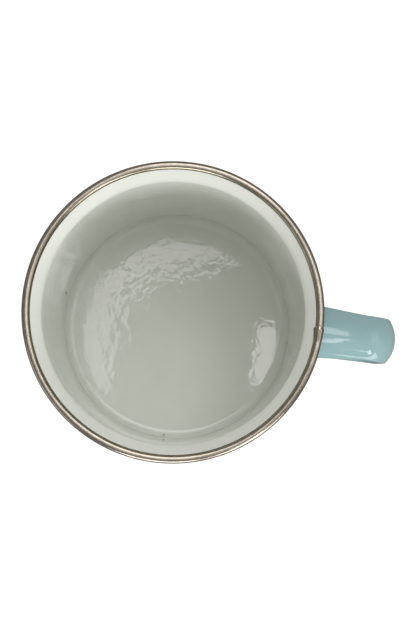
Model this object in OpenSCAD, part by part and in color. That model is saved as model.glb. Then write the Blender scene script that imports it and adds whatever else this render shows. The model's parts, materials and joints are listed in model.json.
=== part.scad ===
// Enamelled steel milk mug with a strap handle and a crimped stainless rim.
//
// The cup is one drawn sheet of steel, flared at the mouth and rolled to a bead.
// Fired enamel covers both faces of the sheet and all of the handle, and a
// stainless strip is crimped over the bead to keep the edge from chipping.
//
// Millimetres. Origin at the centre of the resting face, +Z up to the mouth,
// +X towards the handle.

/* [Cup] */
// Height from the resting face to the top of the rim
cup_h = 80; // [65:1:110]
// Inside diameter of the straight wall, measured on the enamel
bore_d = 79.2; // [76:0.2:82]
// Thickness of the drawn steel sheet
steel_t = 0.5; // [0.4:0.05:0.6]
// Thickness of the fired enamel on each face of the steel
coat_t = 0.25; // [0.2:0.05:0.3]
// Inside radius of the corner between the wall and the floor
corner_r = 3; // [2:0.5:6]

/* [Mouth] */
// Depth of the crease, where the wall starts to flare, below the top of the rim
crease_depth = 5.5; // [5:0.5:9]
// Inside radius of the bend at the crease
crease_r = 3; // [2:0.5:4]
// Outside diameter of the stainless rim
rim_d = 90; // [88:0.5:93]
// Width of the stainless rim, seen from above
rim_w = 2.55; // [2.4:0.05:3]
// Thickness of the stainless strip
trim_t = 0.3; // [0.25:0.05:0.35]
// Extra thickness where the ends of the stainless strip lap
lap_t = 0.2; // [0.1:0.05:0.3]
// Length of the lap, as an angle around the rim
lap_angle = 5; // [3:1:10]

/* [Handle] */
// Reach of the handle from the axis of the cup to its outermost point
handle_reach = 70; // [66:0.5:76]
// Depth of the handle's upper run, where it leaves the cup, below the top of the rim
handle_drop = 12; // [10:1:16]
// Slope of the upper run, below level
upper_slope = 8; // [0:1:12]
// Width of the handle where its upper run leaves the cup
root_w = 17; // [15:0.2:18]
// Width of the handle at its bend and down its back
back_w = 14; // [12.5:0.1:15]
// Width of the handle where its lower run meets the cup
foot_w = 11.4; // [10:0.2:14]
// Thickness of the steel strap
strap_t = 1; // [0.8:0.1:1.2]
// Radius of the strap's arched section, at the middle of its thickness
arch_r = 10.4; // [9.6:0.2:14]
// Radius of the upper bend
upper_bend_r = 10; // [8:0.5:13]
// Radius of the lower bend
lower_bend_r = 12; // [9:1:18]
// Length of the straight back between the bends
back_len = 8; // [4:1:14]
// Lean of the back towards the cup, from upright
back_lean = 8; // [0:1:12]
// Slope of the lower run, below level, where it meets the cup
lower_slope = 35; // [20:1:40]

/* [Hidden] */
$fn = 96;

steel_color = [0.45, 0.46, 0.47];
cream_color = [0.85, 0.86, 0.82];
blue_color = [0.58, 0.71, 0.73];
stainless_color = [0.62, 0.59, 0.55];
weld_color = [0.35, 0.34, 0.33];

// Depths of the sheet's four faces below the inside enamel
face_in = 0;
steel_in = coat_t;
steel_out = coat_t + steel_t;
face_out = 2 * coat_t + steel_t;

bore_r = bore_d / 2;
wall_r = bore_r + face_out;
floor_z = face_out;
corner_c = [bore_r - corner_r, floor_z + corner_r];

// Bead at the mouth: its centre, and its radius over the enamel
trim_r = rim_w / 2;
bead_r = trim_r - trim_t;
bead_c = [rim_d / 2 - trim_r, cup_h - trim_r];

// The flare runs from the crease to touch the bead's inner side
flare_run = bead_c[0] - bore_r;
flare_rise = bead_c[1] - (cup_h - crease_depth);
flare = atan2(flare_run, flare_rise) - asin(bead_r / norm([flare_run, flare_rise]));
flare_up = [sin(flare), cos(flare)];
flare_in = [-cos(flare), sin(flare)];
crease_c = [bore_r + crease_r, cup_h - crease_depth - crease_r * tan(flare / 2)];

// The inner leg of the stainless strip ends at the rim's inner edge
trim_leg = trim_r * tan(flare / 2);
// Where the strip's outer leg is tucked under the bead
trim_tuck = -75;

// Handle: steel and finished half thickness, and where its metal starts
strap_half = strap_t / 2;
edge_r = strap_half + coat_t;
steel_wall_r = bore_r + steel_out;
weld_t = 0.6;
butt_r = steel_wall_r + weld_t;
spine_z = cup_h - handle_drop - edge_r;
spine_reach = handle_reach - edge_r;
back_dir = -90 - back_lean;
lower_dir = lower_slope - 180;
arch_steps = 14;
bend_step = 7;
// Points on each half of a rounded strap edge, as angles from its tip
edge_turns = [22.5, 67.5];

function arc(c, r, a0, a1, step = 6) =
    let (n = ceil(abs(a1 - a0) / step))
    [for (i = [0 : n]) let (a = a0 + (a1 - a0) * i / n) c + r * [cos(a), sin(a)]];

function reversed(list) = [for (i = [len(list) - 1 : -1 : 0]) list[i]];

function head(list) = [for (i = [0 : len(list) - 2]) list[i]];

// Section line of the sheet at depth d, from the middle of the floor to the flare
function sheet_line(d) = concat(
    [[0, floor_z - d]],
    arc(corner_c, corner_r + d, -90, 0),
    arc(crease_c, crease_r - d, 180, 180 - flare));

// The same line carried over the bead: the inner faces run up to its crown ...
function inner_line(d) = concat(
    sheet_line(d),
    arc(bead_c, bead_r - d, 180 - flare, 90, 12));

// ... and the outer faces meet it from below and run round its outer side
function outer_line(d, r) =
    let (off = bead_r - d,
         join = off * flare_in - sqrt(r * r - off * off) * flare_up)
    concat(sheet_line(d), arc(bead_c, r, atan2(join[1], join[0]), 90, 12));

module steel_body() {
    color(steel_color)
        rotate_extrude()
            polygon(concat(
                inner_line(steel_in),
                reversed(head(outer_line(steel_out, bead_r - coat_t)))));
}

module inner_enamel() {
    color(cream_color)
        rotate_extrude()
            polygon(concat(inner_line(face_in), reversed(inner_line(steel_in))));
}

// The coat is broken only where the handle's welds pass through it
module outer_enamel() {
    color(blue_color)
        difference() {
            rotate_extrude()
                polygon(concat(
                    outer_line(steel_out, bead_r - coat_t),
                    reversed(outer_line(face_out, bead_r))));
            weld(upper_end, steel_wall_r - coat_t);
            weld(lower_end, steel_wall_r - coat_t);
        }
}

// U-section strip: rolled over the bead, inner leg flat on the flare
module trim_section(r_in, r_out) {
    polygon(concat(
        arc(bead_c, r_out, trim_tuck, 180 - flare, 10),
        [for (r = [r_out, r_in]) bead_c + r * flare_in - trim_leg * flare_up],
        arc(bead_c, r_in, 180 - flare, trim_tuck, 10)));
}

module rim_trim() {
    color(stainless_color)
        union() {
            rotate([0, 0, 180])
                rotate_extrude()
                    trim_section(bead_r, trim_r);
            rotate([0, 0, -lap_angle])
                rotate_extrude(angle = lap_angle)
                    trim_section(bead_r + trim_t / 2, trim_r + lap_t);
        }
}

// Handle spine in the XZ plane, as [x, z, direction] stations

function turn(c, r, a0, a1) =
    let (n = ceil(abs(a1 - a0) / bend_step))
    [for (i = [0 : n])
        let (a = a0 + (a1 - a0) * i / n)
        [c[0] + r * cos(a), c[1] + r * sin(a), a - 90]];

upper_x = spine_reach - upper_bend_r * (1 - sin(upper_slope));
upper_c = [spine_reach - upper_bend_r,
           spine_z - (upper_x - wall_r) * tan(upper_slope) - upper_bend_r * cos(upper_slope)];
upper_turn = turn(upper_c, upper_bend_r, 90 - upper_slope, 90 + back_dir);
back_top = upper_turn[len(upper_turn) - 1];
back_foot = [back_top[0] + back_len * cos(back_dir), back_top[1] + back_len * sin(back_dir)];
lower_c = back_foot - lower_bend_r * [cos(back_dir + 90), sin(back_dir + 90)];
lower_turn = turn(lower_c, lower_bend_r, 90 + back_dir, 90 + lower_dir);
lower_top = lower_turn[len(lower_turn) - 1];
lower_run = (lower_top[0] - wall_r) / cos(lower_slope);

upper_end = [wall_r, spine_z, -upper_slope];
lower_end = [wall_r, lower_top[1] - lower_run * sin(lower_slope), lower_dir];
spine = concat([upper_end], upper_turn, lower_turn, [lower_end]);

// The strap narrows from its upper root to the bend, and again below the back
function half_width(st) =
    let (out = min(1, (st[0] - wall_r) / (upper_c[0] - wall_r)),
         down = (back_foot[1] - st[1]) / (back_foot[1] - lower_end[1]))
    (down > 0 ? back_w + (foot_w - back_w) * down : root_w + (back_w - root_w) * out) / 2;

// One face of the arched section, edge to edge, as [across, outwards] points.
// side is 1 on the outer face and -1 on the face towards the fingers.
function lane(w, side, grow) =
    let (half = strap_half + grow,
         edge_a = asin((w - edge_r) / arch_r),
         edge = [for (t = edge_turns)
             let (reach = arch_r + side * half * sin(t))
             [reach * sin(edge_a) + half * cos(t) * cos(edge_a),
              reach * cos(edge_a) - half * cos(t) * sin(edge_a)]],
         face = [for (i = [0 : arch_steps])
             let (a = edge_a * (1 - 2 * i / arch_steps))
             (arch_r + side * half) * [sin(a), cos(a)]],
         far = [for (p = reversed(edge)) [-p[0], p[1]]])
    [for (p = concat(edge, face, far)) [p[0], p[1] - arch_r]];

// A lane set on the spine, and slid along the spine on to a cylinder of radius r if given
function placed(st, side, grow, r = 0) =
    [for (p = lane(half_width(st), side, grow))
        let (x = st[0] - p[1] * sin(st[2]),
             z = st[1] + p[1] * cos(st[2]),
             s = r > 0 ? (sqrt(r * r - p[0] * p[0]) - x) / cos(st[2]) : 0)
        [x + s * cos(st[2]), p[0], z + s * sin(st[2])]];

// Closed loop round the section
function loop(st, grow, r = 0) =
    concat(placed(st, 1, grow, r), reversed(placed(st, -1, grow, r)));

// Both ends of the spine lie on a cylinder of radius r
function loops(grow, r) =
    let (last = len(spine) - 1)
    [for (i = [0 : last]) loop(spine[i], grow, i == 0 || i == last ? r : 0)];

// Triangles joining loop a to loop b, of n points each
function band(a, b, n) =
    [for (i = [0 : n - 1], half = [0, 1])
        let (j = (i + 1) % n, p = a * n, q = b * n)
        half == 0 ? [p + i, p + j, q + j] : [p + i, q + j, q + i]];

// Triangles that close loop a across the strap's thickness
function cap(a, n) =
    [for (i = [0 : n / 2 - 2], half = [0, 1])
        let (p = a * n, k = n - 1 - i)
        half == 0 ? [p + i, p + k, p + k - 1] : [p + i, p + k - 1, p + i + 1]];

function flipped(faces) = [for (f = faces) [f[2], f[1], f[0]]];

module swept(rings) {
    n = len(rings[0]);
    last = len(rings) - 1;
    polyhedron(
        points = [for (ring = rings) each ring],
        faces = concat(
            [for (a = [0 : last - 1]) each flipped(band(a, a + 1, n))],
            flipped(cap(0, n)),
            cap(last, n)));
}

module handle_strap() {
    color(steel_color)
        swept(loops(0, butt_r));
}

// The coat is a sleeve on the strap: outer loops out and back along the inner ones
module handle_enamel() {
    rings = concat(loops(coat_t, wall_r), loops(0, wall_r));
    n = len(rings[0]);
    count = len(spine);
    color(blue_color)
        polyhedron(
            points = [for (ring = rings) each ring],
            faces = concat(
                [for (a = [0 : count - 2]) each flipped(band(a, a + 1, n))],
                [for (a = [count : 2 * count - 2]) each band(a, a + 1, n)],
                band(0, count, n),
                flipped(band(count - 1, 2 * count - 1, n))));
}

// Weld metal between the cup's steel, at radius r, and the butted end of the strap
module weld(end, r) {
    rings = [loop(end, 0, r), loop(end, 0, butt_r)];
    outward = cos(end[2]) > 0;
    swept(outward ? rings : reversed(rings));
}

module upper_weld() {
    color(weld_color)
        weld(upper_end, steel_wall_r);
}

module lower_weld() {
    color(weld_color)
        weld(lower_end, steel_wall_r);
}

steel_body();
inner_enamel();
outer_enamel();
rim_trim();
handle_strap();
handle_enamel();
upper_weld();
lower_weld();
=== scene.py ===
import json
import math

import bpy
import bmesh
from mathutils import Matrix, Vector


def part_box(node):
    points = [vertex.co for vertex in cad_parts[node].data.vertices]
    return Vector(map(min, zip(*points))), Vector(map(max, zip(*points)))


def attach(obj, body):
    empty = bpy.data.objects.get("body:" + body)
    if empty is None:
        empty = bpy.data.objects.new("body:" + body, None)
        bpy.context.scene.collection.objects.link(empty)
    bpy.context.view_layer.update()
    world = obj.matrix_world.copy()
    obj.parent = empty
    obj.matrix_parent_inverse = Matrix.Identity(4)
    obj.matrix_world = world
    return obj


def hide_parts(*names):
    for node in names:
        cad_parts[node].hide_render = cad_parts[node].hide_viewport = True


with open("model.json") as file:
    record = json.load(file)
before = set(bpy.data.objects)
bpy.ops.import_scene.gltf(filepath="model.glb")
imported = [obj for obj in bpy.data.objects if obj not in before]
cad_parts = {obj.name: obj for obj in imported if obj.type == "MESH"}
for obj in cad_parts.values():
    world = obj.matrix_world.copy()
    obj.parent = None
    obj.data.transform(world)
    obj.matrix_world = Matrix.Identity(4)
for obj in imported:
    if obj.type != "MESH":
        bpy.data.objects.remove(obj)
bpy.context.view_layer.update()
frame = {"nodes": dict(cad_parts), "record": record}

# ---------------------------------------------------------------------------
# The drawn steel cup, its strap and the two welds. All of it is hidden under
# the enamel: low-carbon sheet drawn in one piece and pickled to a dull grey,
# a strap pressed from heavier sheet, and dark resistance welds between them.
# ---------------------------------------------------------------------------


def new_material(name):
    """A node material with one Principled shader: material, nodes, links, shader."""
    mat = bpy.data.materials.new(name)
    mat.use_nodes = True
    nodes = mat.node_tree.nodes
    shader = nodes["Principled BSDF"]
    return mat, nodes, mat.node_tree.links, shader


def new_group(name, inputs, outputs):
    """A shader node group with named sockets: name -> (kind, default)."""
    group = bpy.data.node_groups.new(name, "ShaderNodeTree")
    for label, (kind, value) in inputs.items():
        socket = group.interface.new_socket(label, in_out="INPUT", socket_type="NodeSocket" + kind)
        socket.default_value = value
    for label, kind in outputs.items():
        group.interface.new_socket(label, in_out="OUTPUT", socket_type="NodeSocket" + kind)
    enter = group.nodes.new("NodeGroupInput")
    leave = group.nodes.new("NodeGroupOutput")
    return group, group.nodes, group.links, enter, leave


def place_group(nodes, group, **values):
    """A copy of a node group in a material, with its own values."""
    node = nodes.new("ShaderNodeGroup")
    node.node_tree = group
    for label, value in values.items():
        node.inputs[label.replace("_", " ")].default_value = value
    return node


def maths(nodes, links, operation, a, b):
    """A Math node on two values or sockets, and its output."""
    node = nodes.new("ShaderNodeMath")
    node.operation = operation
    for socket, value in zip(node.inputs, (a, b)):
        if isinstance(value, (int, float)):
            socket.default_value = value
        else:
            links.new(value, socket)
    return node.outputs[0]


# Cloudy mixing of two shades of one finish, at a stated size of cloud
shade_group, gn, gl, enter, leave = new_group(
    "cloudy shade",
    {
        "Light Shade": ("Color", (0.8, 0.8, 0.8, 1)),
        "Dark Shade": ("Color", (0.6, 0.6, 0.6, 1)),
        "Clouds per Metre": ("Float", 40.0),
        "Sharpness": ("Float", 0.5),
    },
    {"Color": "Color", "Cloud": "Float"},
)
coords = gn.new("ShaderNodeTexCoord")
clouds = gn.new("ShaderNodeTexNoise")
clouds.inputs["Detail"].default_value = 5.0
gl.new(coords.outputs["Object"], clouds.inputs["Vector"])
gl.new(enter.outputs["Clouds per Metre"], clouds.inputs["Scale"])
gl.new(enter.outputs["Sharpness"], clouds.inputs["Roughness"])
spread = gn.new("ShaderNodeMapRange")
spread.inputs["From Min"].default_value = 0.3
spread.inputs["From Max"].default_value = 0.7
gl.new(clouds.outputs["Fac"], spread.inputs["Value"])
mixer = gn.new("ShaderNodeMix")
mixer.data_type = "RGBA"
gl.new(spread.outputs["Result"], mixer.inputs["Factor"])
gl.new(enter.outputs["Dark Shade"], mixer.inputs["A"])
gl.new(enter.outputs["Light Shade"], mixer.inputs["B"])
gl.new(mixer.outputs["Result"], leave.inputs["Color"])
gl.new(spread.outputs["Result"], leave.inputs["Cloud"])


def hidden_steel(name, light, dark, per_metre, low_rough, high_rough):
    """Bare steel as it is under the enamel: blotchy shade, and gloss that follows the blotches."""
    mat, nodes, links, shader = new_material(name)
    shade = place_group(nodes, shade_group, Light_Shade=light, Dark_Shade=dark, Clouds_per_Metre=per_metre)
    links.new(shade.outputs["Color"], shader.inputs["Base Color"])
    gloss = nodes.new("ShaderNodeMapRange")
    gloss.inputs["To Min"].default_value = high_rough
    gloss.inputs["To Max"].default_value = low_rough
    links.new(shade.outputs["Cloud"], gloss.inputs["Value"])
    links.new(gloss.outputs["Result"], shader.inputs["Roughness"])
    shader.inputs["Metallic"].default_value = 1.0
    return mat


pickled_steel = hidden_steel(
    "pickled steel", (0.45, 0.46, 0.47, 1), (0.33, 0.34, 0.35, 1), 120.0, 0.42, 0.6
)
strap_steel = hidden_steel(
    "strap steel", (0.42, 0.42, 0.43, 1), (0.28, 0.28, 0.29, 1), 220.0, 0.38, 0.55
)
weld_metal = hidden_steel(
    "weld metal", (0.30, 0.29, 0.28, 1), (0.12, 0.11, 0.11, 1), 700.0, 0.45, 0.75
)

for node, mat, slot in (
    ("steel_body", pickled_steel, "drawn_steel"),
    ("handle_strap", strap_steel, "strap_steel"),
    ("upper_weld", weld_metal, "weld_metal"),
    ("lower_weld", weld_metal, "weld_metal"),
):
    piece = frame["nodes"][node]
    piece.data.materials.clear()
    piece.data.materials.append(mat)

# ---------------------------------------------------------------------------
# The cream lining: vitreous enamel fired on the inside of the cup, over the
# floor, the rounded corner, the wall, the flare and up to the bead's crown.
# It is glossy, and sags slightly as it melts, which leaves an orange peel.
# ---------------------------------------------------------------------------

mouth = next(m for m in frame["record"]["mounts"] if m["name"] == "mouth")
bore_r = mouth["dims"]["r_mm"] / 1000
wall_foot_z = mouth["pos_m"][2] - mouth["dims"]["length_mm"] / 2000
lining_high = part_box("inner_enamel")[1]
glaze_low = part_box("outer_enamel")[0]
strip_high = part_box("rim_trim")[1]
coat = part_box("steel_body")[0].z - glaze_low.z
steel_t = 0.0005
sheet = 2 * coat + steel_t
floor_z = glaze_low.z + sheet
corner_r = wall_foot_z - floor_z
strip_t = 0.0003
bead_crown_z = lining_high.z
bead_r_at = lining_high.x
bead_r = 0.000975
rim_z = bead_crown_z + strip_t
crease_depth = 0.0055
crease_r = 0.003

bead_c = (bead_r_at, bead_crown_z - bead_r)
run = bead_c[0] - bore_r
rise = bead_c[1] - (rim_z - crease_depth)
flare = math.atan2(run, rise) - math.asin(bead_r / math.hypot(run, rise))
corner_c = (bore_r - corner_r, floor_z + corner_r)
crease_c = (bore_r + crease_r, rim_z - crease_depth - crease_r * math.tan(flare / 2))


def arc(centre, r, start, end, steps):
    """Points on an arc in the (radius, height) plane. Angles in radians."""
    angles = [start + (end - start) * i / steps for i in range(steps + 1)]
    return [(centre[0] + r * math.cos(a), centre[1] + r * math.sin(a)) for a in angles]


def sheet_line(depth):
    """The cup's section at a depth below the lining's face, from the floor's middle to the flare."""
    quarter = math.pi / 2
    flat = [(corner_c[0] * i / 60, floor_z - depth) for i in range(60)]
    corner = arc(corner_c, corner_r + depth, -quarter, 0, 20)
    crease = arc(crease_c, crease_r - depth, math.pi, math.pi - flare, 12)
    wall_r, low, high = corner[-1][0], corner[-1][1], crease[0][1]
    wall = [(wall_r, low + (high - low) * (i / 50) ** 2) for i in range(1, 50)]
    return flat + corner + wall + crease


def lathe(name, outline, turns, shift=None):
    """A closed outline of (radius, height) points turned about Z. Points on the axis are single.

    shift, if given, takes a point and its angle, and gives the point's final place.
    """
    bm = bmesh.new()
    rings = []
    for r, z in outline:
        if r < 1e-7:
            rings.append([bm.verts.new((0, 0, z))])
            continue
        ring = []
        for k in range(turns):
            a = math.tau * k / turns
            p = Vector((r * math.cos(a), r * math.sin(a), z))
            ring.append(bm.verts.new(shift(p, a) if shift else p))
        rings.append(ring)
    for low, high in zip(rings, rings[1:] + rings[:1]):
        if len(low) == len(high) == 1:
            continue
        for k in range(turns):
            n = (k + 1) % turns
            corners = [low[k % len(low)], low[n % len(low)], high[n % len(high)], high[k % len(high)]]
            bm.faces.new(list(dict.fromkeys(corners)))
    bmesh.ops.recalc_face_normals(bm, faces=bm.faces)
    for face in bm.faces:
        face.smooth = True
    mesh = bpy.data.meshes.new(name)
    bm.to_mesh(mesh)
    bm.free()
    piece = bpy.data.objects.new(name, mesh)
    bpy.context.scene.collection.objects.link(piece)
    return piece


turns = 256
inner_face = sheet_line(0) + arc(bead_c, bead_r, math.pi - flare, math.pi / 2, 8)
inner_back = sheet_line(coat) + arc(bead_c, bead_r - coat, math.pi - flare, math.pi / 2, 8)
lining = lathe("cream_lining", inner_face + inner_back[::-1], turns)

# Melted enamel: broad sags and fine orange peel, as a height for a Bump node. The melt
# can cool rougher on one side, and calmer away from it.
peel_group, gn, gl, enter, leave = new_group(
    "orange peel",
    {
        "Peel per Metre": ("Float", 450.0),
        "Sags per Metre": ("Float", 90.0),
        "Sag Share": ("Float", 0.5),
        "Rough Way": ("Vector", (-0.7, 0.7, 0.0)),
        "Calm Share": ("Float", 1.0),
    },
    {"Height": "Float"},
)
coords = gn.new("ShaderNodeTexCoord")
peel = gn.new("ShaderNodeTexNoise")
peel.inputs["Detail"].default_value = 1.0
peel.inputs["Roughness"].default_value = 0.45
sags = gn.new("ShaderNodeTexNoise")
sags.inputs["Detail"].default_value = 1.0
gl.new(coords.outputs["Object"], peel.inputs["Vector"])
gl.new(coords.outputs["Object"], sags.inputs["Vector"])
gl.new(enter.outputs["Peel per Metre"], peel.inputs["Scale"])
gl.new(enter.outputs["Sags per Metre"], sags.inputs["Scale"])
sag_height = maths(gn, gl, "MULTIPLY", sags.outputs["Fac"], enter.outputs["Sag Share"])
height = maths(gn, gl, "ADD", peel.outputs["Fac"], sag_height)
side = gn.new("ShaderNodeVectorMath")
side.operation = "DOT_PRODUCT"
gl.new(coords.outputs["Object"], side.inputs[0])
gl.new(enter.outputs["Rough Way"], side.inputs[1])
melt = gn.new("ShaderNodeMapRange")
melt.interpolation_type = "SMOOTHSTEP"
melt.inputs["From Min"].default_value = -0.006
melt.inputs["From Max"].default_value = 0.018
melt.inputs["To Max"].default_value = 1.0
gl.new(side.outputs["Value"], melt.inputs["Value"])
gl.new(enter.outputs["Calm Share"], melt.inputs["To Min"])
gl.new(maths(gn, gl, "MULTIPLY", height, melt.outputs["Result"]), leave.inputs["Height"])

# Specks of scale and pinholes burnt into the coat, as a sparse mask
speck_group, gn, gl, enter, leave = new_group(
    "firing specks",
    {"Specks per Metre": ("Float", 160.0), "Speck Size": ("Float", 0.06), "Share": ("Float", 0.03)},
    {"Mask": "Float"},
)
coords = gn.new("ShaderNodeTexCoord")
cells = gn.new("ShaderNodeTexVoronoi")
gl.new(coords.outputs["Object"], cells.inputs["Vector"])
gl.new(enter.outputs["Specks per Metre"], cells.inputs["Scale"])
near = maths(gn, gl, "LESS_THAN", cells.outputs["Distance"], enter.outputs["Speck Size"])
pick = gn.new("ShaderNodeSeparateColor")
gl.new(cells.outputs["Color"], pick.inputs["Color"])
chosen = maths(gn, gl, "LESS_THAN", pick.outputs["Red"], enter.outputs["Share"])
gl.new(maths(gn, gl, "MULTIPLY", near, chosen), leave.inputs["Mask"])


# One burnt mark at a stated place in the part's own frame, with a ragged edge
mark_group, gn, gl, enter, leave = new_group(
    "burnt mark",
    {"Place": ("Vector", (0, 0, 0)), "Size": ("Float", 0.0006), "Squash": ("Vector", (1, 1, 1))},
    {"Mask": "Float"},
)
coords = gn.new("ShaderNodeTexCoord")
offset = gn.new("ShaderNodeVectorMath")
offset.operation = "SUBTRACT"
gl.new(coords.outputs["Object"], offset.inputs[0])
gl.new(enter.outputs["Place"], offset.inputs[1])
squashed = gn.new("ShaderNodeVectorMath")
squashed.operation = "MULTIPLY"
gl.new(offset.outputs["Vector"], squashed.inputs[0])
gl.new(enter.outputs["Squash"], squashed.inputs[1])
away = gn.new("ShaderNodeVectorMath")
away.operation = "LENGTH"
gl.new(squashed.outputs["Vector"], away.inputs[0])
ragged = gn.new("ShaderNodeTexNoise")
ragged.inputs["Scale"].default_value = 2200.0
gl.new(coords.outputs["Object"], ragged.inputs["Vector"])
edge = maths(gn, gl, "MULTIPLY", ragged.outputs["Fac"], 2.0)
reach = maths(gn, gl, "MULTIPLY", edge, enter.outputs["Size"])
near = maths(gn, gl, "DIVIDE", away.outputs["Value"], reach)
gl.new(maths(gn, gl, "SUBTRACT", 1.0, maths(gn, gl, "MULTIPLY", near, near)), leave.inputs["Mask"])


def enamel(name, light, dark, speck_color, peel_depth, marks=(), **peel_values):
    """Fired enamel: a clouded colour with a few specks and marks, under a glossy orange peel."""
    mat, nodes, links, shader = new_material(name)
    shade = place_group(nodes, shade_group, Light_Shade=light, Dark_Shade=dark, Clouds_per_Metre=60.0)
    specks = place_group(nodes, speck_group)
    spotted = nodes.new("ShaderNodeMix")
    spotted.data_type = "RGBA"
    spotted.inputs["B"].default_value = speck_color
    links.new(shade.outputs["Color"], spotted.inputs["A"])
    links.new(specks.outputs["Mask"], spotted.inputs["Factor"])
    color = spotted.outputs["Result"]
    for place, size, squash in marks:
        mark = place_group(nodes, mark_group, Place=place, Size=size, Squash=squash)
        marked = nodes.new("ShaderNodeMix")
        marked.data_type = "RGBA"
        marked.inputs["B"].default_value = speck_color
        links.new(color, marked.inputs["A"])
        links.new(mark.outputs["Mask"], marked.inputs["Factor"])
        color = marked.outputs["Result"]
    links.new(color, shader.inputs["Base Color"])
    surface = place_group(nodes, peel_group, **peel_values)
    bump = nodes.new("ShaderNodeBump")
    bump.inputs["Distance"].default_value = peel_depth
    links.new(surface.outputs["Height"], bump.inputs["Height"])
    links.new(bump.outputs["Normal"], shader.inputs["Normal"])
    shader.inputs["Roughness"].default_value = 0.035
    shader.inputs["IOR"].default_value = 1.52
    return mat


cream_enamel = enamel(
    "cream enamel",
    light=(0.80, 0.818, 0.76, 1),
    dark=(0.77, 0.788, 0.73, 1),
    speck_color=(0.25, 0.25, 0.22, 1),
    peel_depth=0.000064,
    # Burnt marks: a run low on the wall, and a pinhole in the corner
    marks=(
        ((-0.0391, 0.0063, 0.0150), 0.0006, (1, 1, 0.12)),
        ((0.0001, -0.0388, 0.0019), 0.0005, (1, 1, 1)),
    ),
    Peel_per_Metre=410.0,
    Sag_Share=0.2,
    Calm_Share=0.25,
)
lining.data.materials.append(cream_enamel)
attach(lining, "root")
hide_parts("inner_enamel")

# ---------------------------------------------------------------------------
# The blue coat: the same enamel in duck-egg blue, fired over the outside of
# the cup and its base, and carried up round the outer side of the bead.
# ---------------------------------------------------------------------------


def bead_join(depth, r):
    """Angle round the bead at which the sheet's line at a depth runs into a circle of radius r."""
    off = bead_r - depth
    back = math.sqrt(r * r - off * off)
    across = -off * math.cos(flare) - back * math.sin(flare)
    up = off * math.sin(flare) - back * math.cos(flare)
    return math.atan2(up, across)


def outer_line(depth, r):
    """An outer face of the sheet, carried round the outside of the bead to its crown."""
    return sheet_line(depth) + arc(bead_c, r, bead_join(depth, r), math.pi / 2, 24)


outer_face = outer_line(sheet, bead_r)
outer_back = outer_line(sheet - coat, bead_r - coat)
glaze = lathe("blue_glaze", outer_face + outer_back[::-1], turns)

blue_enamel = enamel(
    "blue enamel",
    light=(0.300, 0.460, 0.475, 1),
    dark=(0.275, 0.430, 0.450, 1),
    speck_color=(0.10, 0.14, 0.16, 1),
    peel_depth=0.000012,
    Peel_per_Metre=380.0,
)
glaze.data.materials.append(blue_enamel)
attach(glaze, "root")
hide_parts("outer_enamel")

# ---------------------------------------------------------------------------
# The handle's coat: blue enamel all round a pressed strap with an arched
# section, thicker where it pools in the roots against the cup.
# ---------------------------------------------------------------------------

handle_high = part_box("handle_enamel")[1]
strap_half = 0.0005
edge_r = strap_half + coat
wall_r = bore_r + sheet
arch_r = 0.0104
root_w = 0.017
back_w = 0.014
foot_w = 0.0114
upper_slope = math.radians(8)
back_lean = math.radians(8)
lower_slope = math.radians(35)
upper_bend_r = 0.010
lower_bend_r = 0.012
back_len = 0.008
handle_drop = 0.012
root_pool = 0.0006
pool_reach = 0.0022
spine_z = rim_z - handle_drop - edge_r
spine_reach = handle_high.x - edge_r


def bend(centre, r, start, end, steps):
    """Stations (x, z, direction) round a bend of the strap."""
    found = []
    for i in range(steps + 1):
        a = start + (end - start) * i / steps
        found.append((centre[0] + r * math.cos(a), centre[1] + r * math.sin(a), a - math.pi / 2))
    return found


def straight(a, b, direction, steps):
    """Stations between two points, ends left out."""
    ways = [i / steps for i in range(1, steps)]
    return [(a[0] + (b[0] - a[0]) * k, a[1] + (b[1] - a[1]) * k, direction) for k in ways]


back_dir = -math.pi / 2 - back_lean
lower_dir = lower_slope - math.pi
upper_x = spine_reach - upper_bend_r * (1 - math.sin(upper_slope))
upper_c = (
    spine_reach - upper_bend_r,
    spine_z - (upper_x - wall_r) * math.tan(upper_slope) - upper_bend_r * math.cos(upper_slope),
)
upper_bend = bend(upper_c, upper_bend_r, math.pi / 2 - upper_slope, math.pi / 2 + back_dir, 28)
top = upper_bend[-1]
foot = (top[0] + back_len * math.cos(back_dir), top[1] + back_len * math.sin(back_dir))
lower_c = (
    foot[0] - lower_bend_r * math.cos(back_dir + math.pi / 2),
    foot[1] - lower_bend_r * math.sin(back_dir + math.pi / 2),
)
lower_bend = bend(lower_c, lower_bend_r, math.pi / 2 + back_dir, math.pi / 2 + lower_dir, 18)
low = lower_bend[-1]
lower_run = (low[0] - wall_r) / math.cos(lower_slope)
upper_root = (wall_r, spine_z, -upper_slope)
lower_root = (wall_r, low[1] - lower_run * math.sin(lower_slope), lower_dir)
spine = (
    [upper_root]
    + straight(upper_root, upper_bend[0], -upper_slope, 24)
    + upper_bend
    + straight(top, foot, back_dir, 10)
    + lower_bend
    + straight(low, lower_root, lower_dir, 24)
    + [lower_root]
)


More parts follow.
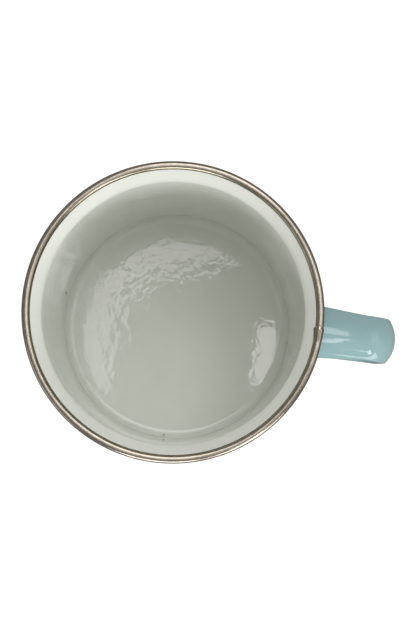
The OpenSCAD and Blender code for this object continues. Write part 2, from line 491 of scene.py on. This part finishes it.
def strap_loop(station, grow, steps=24, edge_steps=6):
    """Closed loop round the arched section at one station, grown by a coat's thickness."""
    x, z, direction = station
    down = (foot[1] - z) / (foot[1] - lower_root[1])
    if down > 0:
        width = back_w + (foot_w - back_w) * down
    else:
        width = root_w + (back_w - root_w) * min(1, (x - wall_r) / (upper_c[0] - wall_r))
    half = strap_half + grow
    edge = math.asin((width / 2 - edge_r) / arch_r)
    section = []
    for i in range(steps + 1):
        a = edge * (1 - 2 * i / steps)
        section.append(((arch_r + half) * math.sin(a), (arch_r + half) * math.cos(a)))
    for i in range(1, edge_steps):
        t = math.pi / 2 - math.pi * i / edge_steps
        reach = arch_r + half * math.sin(t)
        along = half * math.cos(t)
        section.append((
            -reach * math.sin(edge) - along * math.cos(edge),
            reach * math.cos(edge) - along * math.sin(edge),
        ))
    for i in range(steps + 1):
        a = edge * (2 * i / steps - 1)
        section.append(((arch_r - half) * math.sin(a), (arch_r - half) * math.cos(a)))
    for i in range(1, edge_steps):
        t = math.pi * i / edge_steps - math.pi / 2
        reach = arch_r + half * math.sin(t)
        along = half * math.cos(t)
        section.append((
            reach * math.sin(edge) + along * math.cos(edge),
            reach * math.cos(edge) - along * math.sin(edge),
        ))
    points = []
    for across, out in section:
        v = out - arch_r
        points.append(Vector((x - v * math.sin(direction), across, z + v * math.cos(direction))))
    return points


def slide_to_wall(points, direction, r):
    """Moves a loop's points along the strap on to the cup's wall of radius r."""
    moved = []
    for p in points:
        s = (math.sqrt(r * r - p.y * p.y) - p.x) / math.cos(direction)
        moved.append(Vector((p.x + s * math.cos(direction), p.y, p.z + s * math.sin(direction))))
    return moved


def coat_loops(grow, pool):
    """Loops along the whole strap. Near the roots the coat pools out by up to pool."""
    loops = []
    for station in spine:
        away = (station[0] - wall_r) / pool_reach
        extra = pool * (1 - away) ** 2 if away < 1 else 0.0
        loops.append(strap_loop(station, grow + extra))
    loops[0] = slide_to_wall(loops[0], -upper_slope, wall_r)
    loops[-1] = slide_to_wall(loops[-1], lower_dir, wall_r)
    return loops


bm = bmesh.new()
outer = [[bm.verts.new(p) for p in loop] for loop in coat_loops(coat, root_pool)]
inner = [[bm.verts.new(p) for p in loop] for loop in coat_loops(0.0, 0.0)]
ends = ((outer[0], inner[0]), (outer[-1], inner[-1]))
for a, b in list(zip(outer, outer[1:])) + list(zip(inner, inner[1:])) + list(ends):
    for i in range(len(a)):
        j = (i + 1) % len(a)
        bm.faces.new((a[i], a[j], b[j], b[i]))
bmesh.ops.recalc_face_normals(bm, faces=bm.faces)
for face in bm.faces:
    face.smooth = True
handle_mesh = bpy.data.meshes.new("handle_coat")
bm.to_mesh(handle_mesh)
bm.free()
handle_coat = bpy.data.objects.new("handle_coat", handle_mesh)
bpy.context.scene.collection.objects.link(handle_coat)
handle_coat.data.materials.append(blue_enamel)
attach(handle_coat, "root")
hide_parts("handle_enamel")

# ---------------------------------------------------------------------------
# The rim strip: bright stainless steel, rolled to a U and crimped over the
# bead all round, its inner leg flat on the flare. Its ends lap beside the
# handle, where the upper end stands a strip's thickness proud.
# ---------------------------------------------------------------------------

strip_r = bead_r + strip_t
strip_leg = strip_r * math.tan(flare / 2)
strip_tuck = math.radians(-75)
lap_angle = math.radians(5)
lap_rise = 0.9 * (strip_high.z - rim_z)
lap_leg = 0.0005
gap_angle = math.radians(0.8)
gap_depth = 0.00012

crown = math.pi - flare
leg_way = (-math.sin(flare), -math.cos(flare))
face_way = (-math.cos(flare), math.sin(flare))
strip_outline = (
    arc(bead_c, strip_r, strip_tuck, crown, 36)
    + [
        (
            bead_c[0] + r * face_way[0] + strip_leg * leg_way[0],
            bead_c[1] + r * face_way[1] + strip_leg * leg_way[1],
        )
        for r in (strip_r, bead_r)
    ]
    + arc(bead_c, bead_r, crown, strip_tuck, 36)
)


def lapped(p, a):
    """The strip stands proud over the lap, which fades out away from its cut end.

    Just past the cut end the strip dips into the gap. The lap's inner leg stands further in.
    """
    behind = (-a) % math.tau
    out = Vector((math.hypot(p.x, p.y) - bead_c[0], p.z - bead_c[1]))
    if 0 < a < gap_angle and out.length > (bead_r + strip_r) / 2:
        dip = out * (gap_depth / out.length)
        r = math.hypot(p.x, p.y) - dip.x
        return Vector((r * math.cos(a), r * math.sin(a), p.z - dip.y))
    if behind > lap_angle:
        return p
    fade = 1 - behind / lap_angle
    k = lap_rise * fade / out.length
    if out.dot(Vector(leg_way)) > strip_leg * 0.9:
        out = out + Vector(leg_way) * lap_leg * fade
    r = bead_c[0] + out.x * (1 + k)
    return Vector((r * math.cos(a), r * math.sin(a), p.z + out.y * k))


strip = lathe("rim_strip", strip_outline, 720, lapped)

# Fine lines drawn along the strip by the rolls, as rings about Z
draw_group, gn, gl, enter, leave = new_group(
    "draw lines",
    {"Lines per Metre": ("Float", 9000.0), "Drift": ("Float", 40.0)},
    {"Height": "Float", "Radius": "Float"},
)
coords = gn.new("ShaderNodeTexCoord")
axes = gn.new("ShaderNodeSeparateXYZ")
gl.new(coords.outputs["Object"], axes.inputs["Vector"])
x_sq = maths(gn, gl, "MULTIPLY", axes.outputs["X"], axes.outputs["X"])
y_sq = maths(gn, gl, "MULTIPLY", axes.outputs["Y"], axes.outputs["Y"])
radius = maths(gn, gl, "SQRT", maths(gn, gl, "ADD", x_sq, y_sq), 0.0)
across = gn.new("ShaderNodeCombineXYZ")
gl.new(maths(gn, gl, "MULTIPLY", radius, enter.outputs["Lines per Metre"]), across.inputs["X"])
gl.new(maths(gn, gl, "MULTIPLY", axes.outputs["Z"], enter.outputs["Lines per Metre"]), across.inputs["Y"])
gl.new(maths(gn, gl, "MULTIPLY", axes.outputs["X"], enter.outputs["Drift"]), across.inputs["Z"])
lines = gn.new("ShaderNodeTexNoise")
lines.inputs["Scale"].default_value = 1.0
lines.inputs["Detail"].default_value = 2.0
gl.new(across.outputs["Vector"], lines.inputs["Vector"])
gl.new(lines.outputs["Fac"], leave.inputs["Height"])
gl.new(radius, leave.inputs["Radius"])

stainless, nodes, links, shader = new_material("stainless strip")
shade = place_group(
    nodes,
    shade_group,
    Light_Shade=(0.43, 0.39, 0.335, 1),
    Dark_Shade=(0.33, 0.29, 0.245, 1),
    Clouds_per_Metre=300.0,
)
drawn = place_group(nodes, draw_group)
# Painted shade along both edges of the strip, where it meets the enamel: an olive shadow line inside and a
# dark brown painted reflection outside
strip_edge_shade = nodes.new("ShaderNodeValToRGB")
strip_edge_shade.color_ramp.interpolation = "EASE"
strip_edge_shade.color_ramp.elements[0].position = 0.0
strip_edge_shade.color_ramp.elements[0].color = (0.62, 0.62, 0.53, 1)
strip_edge_shade.color_ramp.elements[1].position = 1.0
strip_edge_shade.color_ramp.elements[1].color = (0.42, 0.33, 0.27, 1)
for place, tint in ((0.22, (0.78, 0.77, 0.68, 1)), (0.40, (1, 1, 1, 1)), (0.84, (1, 1, 1, 1))):
    stop = strip_edge_shade.color_ramp.elements.new(place)
    stop.color = tint
span = nodes.new("ShaderNodeMapRange")
span.inputs["From Min"].default_value = bead_c[0] - strip_r * 1.15
span.inputs["From Max"].default_value = bead_c[0] + strip_r
links.new(drawn.outputs["Radius"], span.inputs["Value"])
links.new(span.outputs["Result"], strip_edge_shade.inputs["Fac"])
# The painted edge shade multiplies the strip's clouded colour
edge_shaded_color = nodes.new("ShaderNodeMix")
edge_shaded_color.data_type = "RGBA"
edge_shaded_color.blend_type = "MULTIPLY"
edge_shaded_color.inputs["Factor"].default_value = 1.0
links.new(shade.outputs["Color"], edge_shaded_color.inputs["A"])
links.new(strip_edge_shade.outputs["Color"], edge_shaded_color.inputs["B"])
links.new(edge_shaded_color.outputs["Result"], shader.inputs["Base Color"])
bump = nodes.new("ShaderNodeBump")
bump.inputs["Distance"].default_value = 0.000006
links.new(drawn.outputs["Height"], bump.inputs["Height"])
links.new(bump.outputs["Normal"], shader.inputs["Normal"])
shader.inputs["Metallic"].default_value = 1.0
shader.inputs["Roughness"].default_value = 0.2
strip.data.materials.append(stainless)
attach(strip, "root")
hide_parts("rim_trim")

# ---------------------------------------------------------------------------
# The studio: a pale floor that runs to white before the lens but stays dim in
# the glaze and the metal, soft panels above and low around the mug, and the
# camera almost straight above the mouth.
# ---------------------------------------------------------------------------

bpy.ops.mesh.primitive_plane_add(size=60)
floor = bpy.context.object
floor.name = "studio_floor"
floor_mat, nodes, links, shader = new_material("pale floor")
paper = place_group(
    nodes,
    shade_group,
    Light_Shade=(0.40, 0.37, 0.34, 1),
    Dark_Shade=(0.37, 0.34, 0.31, 1),
    Clouds_per_Metre=6.0,
)
links.new(paper.outputs["Color"], shader.inputs["Base Color"])
shader.inputs["Roughness"].default_value = 0.8
shader.inputs["Emission Color"].default_value = (0.85, 0.85, 0.85, 1)
seen = nodes.new("ShaderNodeLightPath")
links.new(seen.outputs["Is Camera Ray"], shader.inputs["Emission Strength"])
floor.data.materials.append(floor_mat)

world = bpy.data.worlds.new("studio")
bpy.context.scene.world = world
world.use_nodes = True
background = world.node_tree.nodes["Background"]
background.inputs["Color"].default_value = (1.0, 0.98, 0.95, 1)
seen = world.node_tree.nodes.new("ShaderNodeLightPath")
sky = world.node_tree.nodes.new("ShaderNodeMapRange")
sky.inputs["To Min"].default_value = 0.33
sky.inputs["To Max"].default_value = 1.08
world.node_tree.links.new(seen.outputs["Is Camera Ray"], sky.inputs["Value"])
world.node_tree.links.new(sky.outputs["Result"], background.inputs["Strength"])


def soft_light(name, size, radiance):
    """A soft rectangular area light of a stated size and radiance."""
    light = bpy.data.lights.new(name, "AREA")
    light.shape = "RECTANGLE"
    light.size, light.size_y = size
    light.energy = radiance * math.pi * size[0] * size[1]
    lamp = bpy.data.objects.new(name, light)
    bpy.context.scene.collection.objects.link(lamp)
    return lamp


def panel(name, azimuth, elevation, distance, size, radiance):
    """A panel on a dome round the mug, facing the middle of the cup."""
    az, el = math.radians(azimuth), math.radians(elevation)
    way = Vector((math.cos(el) * math.cos(az), math.cos(el) * math.sin(az), math.sin(el)))
    lamp = soft_light(name, size, radiance)
    lamp.location = Vector((0, 0, 0.05)) + way * distance
    lamp.rotation_euler = way.to_track_quat("Z", "Y").to_euler()


def overhead(name, low, high, radiance, turn=0.0):
    """A level panel over the mug, from corner low to corner high, turned about its own centre."""
    lamp = soft_light(name, (high[0] - low[0], high[1] - low[1]), radiance)
    lamp.location = ((low[0] + high[0]) / 2, (low[1] + high[1]) / 2, 0.75)
    lamp.rotation_euler = (0, 0, math.radians(turn))


overhead("left_panel", (-0.15, -0.03), (-0.07, 0.08), 2.4)
overhead("corner_panel", (-0.15, 0.08), (-0.045, 0.20), 3.0)
overhead("top_panel", (-0.06, 0.10), (0.045, 0.26), 2.6, 14)
overhead("top_right_panel", (0.06, 0.13), (0.16, 0.26), 1.3)
overhead("right_panel", (0.060, -0.003), (0.13, 0.056), 4.6)
overhead("front_panel", (-0.12, -0.17), (0.12, -0.09), 1.4)
panel("north_dome", 84, 55, 0.8, (0.5, 0.4), 2.6)
panel("back_fill", 215, 8, 0.9, (0.6, 0.2), 1.8)
overhead("handle_panel", (0.20, 0.0), (0.338, 0.26), 3.4)
overhead("handle_strip", (0.327, -0.40), (0.343, -0.12), 5.0)
panel("east_dome", 8, 46, 0.8, (0.5, 0.4), 1.0)
panel("south_dome", -75, 66, 0.8, (0.4, 0.2), 0.4)
panel("low_front", -90, 14, 0.8, (0.45, 0.26), 6.0)
panel("low_right", -52, 14, 0.8, (0.45, 0.26), 4.4)
panel("mid_front", -51, 36, 0.8, (0.13, 0.17), 8.0)

camera_data = bpy.data.cameras.new("camera")
camera_data.lens = 73.8
camera_data.sensor_width = 36.0
camera_data.clip_start = 0.01
camera = bpy.data.objects.new("camera", camera_data)
bpy.context.scene.collection.objects.link(camera)
eye = Vector((0.0097, -0.0261, rim_z + 0.3775))
aim = Vector((0.0103, 0.0009, rim_z))
up_azimuth = math.radians(90 + 6.81)
back = (eye - aim).normalized()
up_hint = Vector((math.cos(up_azimuth), math.sin(up_azimuth), 0))
right = up_hint.cross(back).normalized()
up = back.cross(right)
camera.matrix_world = Matrix.Translation(eye) @ Matrix((right, up, back)).transposed().to_4x4()
bpy.context.scene.camera = camera
bpy.context.scene.view_settings.view_transform = "Standard"
